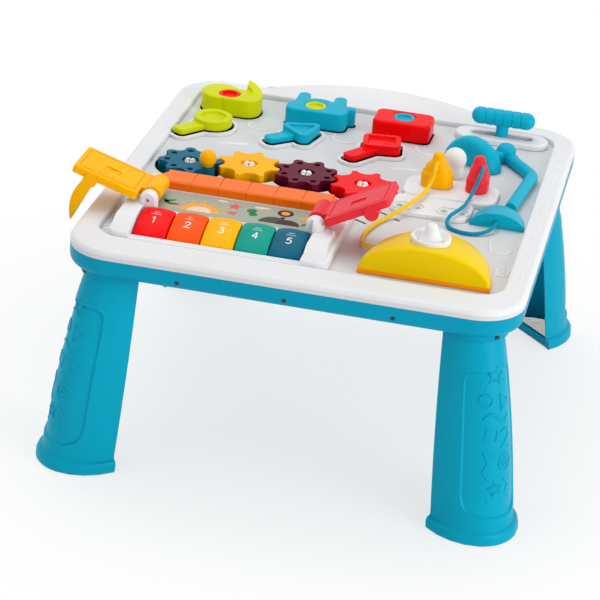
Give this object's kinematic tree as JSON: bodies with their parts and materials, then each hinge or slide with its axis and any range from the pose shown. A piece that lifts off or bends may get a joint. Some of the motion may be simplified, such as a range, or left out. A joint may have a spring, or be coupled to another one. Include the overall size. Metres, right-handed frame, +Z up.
{
  "type": "musical activity table",
  "caption": "Toddler activity table: a rounded deck on shell legs with a keyboard, flip pages, gear train, pop-up figures, slide handle, toy lamp and toy iron with plugs",
  "frame": {"origin": "centre of the footprint, on the floor", "axes": "+X to the right of a child at the keyboard, +Y towards the back crest, +Z up"},
  "size_m": [0.5036, 0.5486, 0.3048],
  "materials": {
    "white_shell": "satin moulded white",
    "blue_shell": "satin moulded teal blue",
    "sky_plastic": "glossy sky blue",
    "red_plastic": "glossy red",
    "coral_plastic": "glossy coral red",
    "orange_plastic": "glossy orange",
    "amber_plastic": "glossy amber",
    "yellow_plastic": "glossy yellow",
    "lime_plastic": "glossy lime green",
    "green_plastic": "glossy sea green",
    "teal_plastic": "glossy deep teal",
    "maroon_plastic": "glossy maroon",
    "bar_plastic": "satin translucent orange",
    "print_film": "matte printed film",
    "yellow_cord": "soft vinyl",
    "blue_cord": "soft vinyl",
    "dark_plastic": "matte black",
    "steel": "bright drawn pin",
    "screw_steel": "blackened screw",
    "board": "printed circuit laminate",
    "contact_rubber": "conductive rubber",
    "cell_jacket": "plain cell jacket"
  },
  "bodies": {
    "table": {"top_panel": "white_shell", "bottom_tray": "blue_shell", "leg_front_left": "blue_shell", "leg_front_right": "blue_shell", "leg_back_left": "blue_shell", "leg_back_right": "blue_shell", "tray_screws": "screw_steel", "leg_screws": "screw_steel", "keyboard_housing": "white_shell", "key_axle": "steel", "key_contacts": "contact_rubber", "picture_panel": "print_film", "light_bar": "bar_plastic", "page_pins": "steel", "gear_studs": "white_shell", "paddle_pins": "steel", "slide_track": "white_shell", "lamp_shade": "sky_plastic", "lamp_bulb": "white_shell", "lamp_arm": "sky_plastic", "lamp_base": "sky_plastic", "socket_block": "white_shell", "cord_yellow": "yellow_cord", "cord_blue": "blue_cord", "iron_body": "yellow_plastic", "iron_sole": "orange_plastic", "dial_dish": "white_shell", "speaker": "dark_plastic", "circuit_board": "board", "battery_cover": "blue_shell", "battery_cells": "cell_jacket"},
    "key_1": {"key_red": "red_plastic"},
    "key_2": {"key_orange": "orange_plastic"},
    "key_3": {"key_yellow": "amber_plastic"},
    "key_4": {"key_green": "green_plastic"},
    "key_5": {"key_blue": "teal_plastic"},
    "page_left": {"page_yellow": "amber_plastic"},
    "page_right": {"page_red": "coral_plastic"},
    "gear_1": {"gear_teal": "teal_plastic"},
    "gear_2": {"gear_yellow": "amber_plastic"},
    "gear_3": {"gear_maroon": "maroon_plastic"},
    "gear_4": {"gear_red": "red_plastic"},
    "knob": {"crank_knob": "amber_plastic"},
    "paddle_1": {"paddle_round": "lime_plastic"},
    "paddle_2": {"paddle_triangle": "sky_plastic"},
    "paddle_3": {"paddle_square": "red_plastic"},
    "figure_1": {"figure_snail": "lime_plastic", "insert_red": "red_plastic"},
    "figure_2": {"figure_plane": "sky_plastic", "insert_green": "lime_plastic"},
    "figure_3": {"figure_camera": "red_plastic", "insert_blue": "sky_plastic"},
    "handle": {"slide_handle": "sky_plastic"},
    "plug_1": {"plug_orange": "amber_plastic"},
    "plug_2": {"plug_red": "coral_plastic"},
    "dial": {"dial_knob": "white_shell"},
    "switch": {"power_switch": "dark_plastic"}
  },
  "joints": [
    {"name": "press_key_1", "type": "hinge", "parent": "table", "child": "key_1", "pos_m": [-0.1526, -0.15, 0.245], "axis": [1, 0, 0], "range_deg": [0, 4], "stiffness_Nm_per_rad": 0.6, "springref_deg": -1.15},
    {"name": "press_key_2", "type": "hinge", "parent": "table", "child": "key_2", "pos_m": [-0.1178, -0.15, 0.245], "axis": [1, 0, 0], "range_deg": [0, 4], "stiffness_Nm_per_rad": 0.6, "springref_deg": -1.15},
    {"name": "press_key_3", "type": "hinge", "parent": "table", "child": "key_3", "pos_m": [-0.083, -0.15, 0.245], "axis": [1, 0, 0], "range_deg": [0, 4], "stiffness_Nm_per_rad": 0.6, "springref_deg": -1.15},
    {"name": "press_key_4", "type": "hinge", "parent": "table", "child": "key_4", "pos_m": [-0.0482, -0.15, 0.245], "axis": [1, 0, 0], "range_deg": [0, 4], "stiffness_Nm_per_rad": 0.6, "springref_deg": -1.15},
    {"name": "press_key_5", "type": "hinge", "parent": "table", "child": "key_5", "pos_m": [-0.0134, -0.15, 0.245], "axis": [1, 0, 0], "range_deg": [0, 4], "stiffness_Nm_per_rad": 0.6, "springref_deg": -1.15},
    {"name": "turn_page_left", "type": "hinge", "parent": "table", "child": "page_left", "pos_m": [-0.167, -0.12, 0.263], "axis": [0, 1, 0], "range_deg": [0, 163]},
    {"name": "turn_page_right", "type": "hinge", "parent": "table", "child": "page_right", "pos_m": [0.006, -0.12, 0.263], "axis": [0, -1, 0], "range_deg": [0, 152]},
    {"name": "spin_gear_1", "type": "hinge", "parent": "table", "child": "gear_1", "pos_m": [-0.163, 0.002, 0.24], "axis": [0, 0, 1], "continuous": true},
    {"name": "spin_gear_2", "type": "hinge", "parent": "table", "child": "gear_2", "pos_m": [-0.10158, 0.01731, 0.24], "axis": [0, 0, 1], "continuous": true},
    {"name": "spin_gear_3", "type": "hinge", "parent": "table", "child": "gear_3", "pos_m": [-0.03829, 0.01621, 0.24], "axis": [0, 0, 1], "continuous": true},
    {"name": "spin_gear_4", "type": "hinge", "parent": "table", "child": "gear_4", "pos_m": [0.02466, 0.00959, 0.24], "axis": [0, 0, 1], "continuous": true},
    {"name": "spin_knob", "type": "hinge", "parent": "gear_1", "child": "knob", "pos_m": [-0.14125, -0.00814, 0.25], "axis": [0, 0, 1], "continuous": true},
    {"name": "press_paddle_1", "type": "hinge", "parent": "table", "child": "paddle_1", "pos_m": [-0.162, 0.147, 0.229], "axis": [1, 0, 0], "range_deg": [0, 7]},
    {"name": "lift_figure_1", "type": "slide", "parent": "table", "child": "figure_1", "axis": [0, 0, 1], "range_m": [0, 0.0048], "stiffness_N_per_m": 40, "springref_m": -0.003},
    {"name": "press_paddle_2", "type": "hinge", "parent": "table", "child": "paddle_2", "pos_m": [-0.062, 0.147, 0.229], "axis": [1, 0, 0], "range_deg": [0, 7]},
    {"name": "lift_figure_2", "type": "slide", "parent": "table", "child": "figure_2", "axis": [0, 0, 1], "range_m": [0, 0.0048], "stiffness_N_per_m": 40, "springref_m": -0.003},
    {"name": "press_paddle_3", "type": "hinge", "parent": "table", "child": "paddle_3", "pos_m": [0.037, 0.147, 0.229], "axis": [1, 0, 0], "range_deg": [0, 7]},
    {"name": "lift_figure_3", "type": "slide", "parent": "table", "child": "figure_3", "axis": [0, 0, 1], "range_m": [0, 0.0048], "stiffness_N_per_m": 40, "springref_m": -0.003},
    {"name": "slide_grip", "type": "slide", "parent": "table", "child": "handle", "axis": [1, 0, 0], "range_m": [-0.028, 0.028]},
    {"name": "pull_plug_left", "type": "slide", "parent": "table", "child": "plug_1", "axis": [0, 0, 1], "range_m": [0, 0.004]},
    {"name": "pull_plug_right", "type": "slide", "parent": "table", "child": "plug_2", "axis": [0, 0, 1], "range_m": [0, 0.004]},
    {"name": "turn_dial", "type": "hinge", "parent": "table", "child": "dial", "pos_m": [0.126, -0.1655, 0.27], "axis": [0, 0, 1], "range_deg": [-150, 150]},
    {"name": "move_switch", "type": "slide", "parent": "table", "child": "switch", "axis": [1, 0, 0], "range_m": [0, 0.003]}
  ],
  "couplings": [
    {"joint": "spin_gear_2", "follows": "spin_gear_1", "ratio": -1},
    {"joint": "spin_gear_3", "follows": "spin_gear_1", "ratio": 1},
    {"joint": "spin_gear_4", "follows": "spin_gear_1", "ratio": -1},
    {"joint": "press_paddle_1", "follows": "lift_figure_1", "rad_per_m": 25},
    {"joint": "press_paddle_2", "follows": "lift_figure_2", "rad_per_m": 25},
    {"joint": "press_paddle_3", "follows": "lift_figure_3", "rad_per_m": 25}
  ]
}
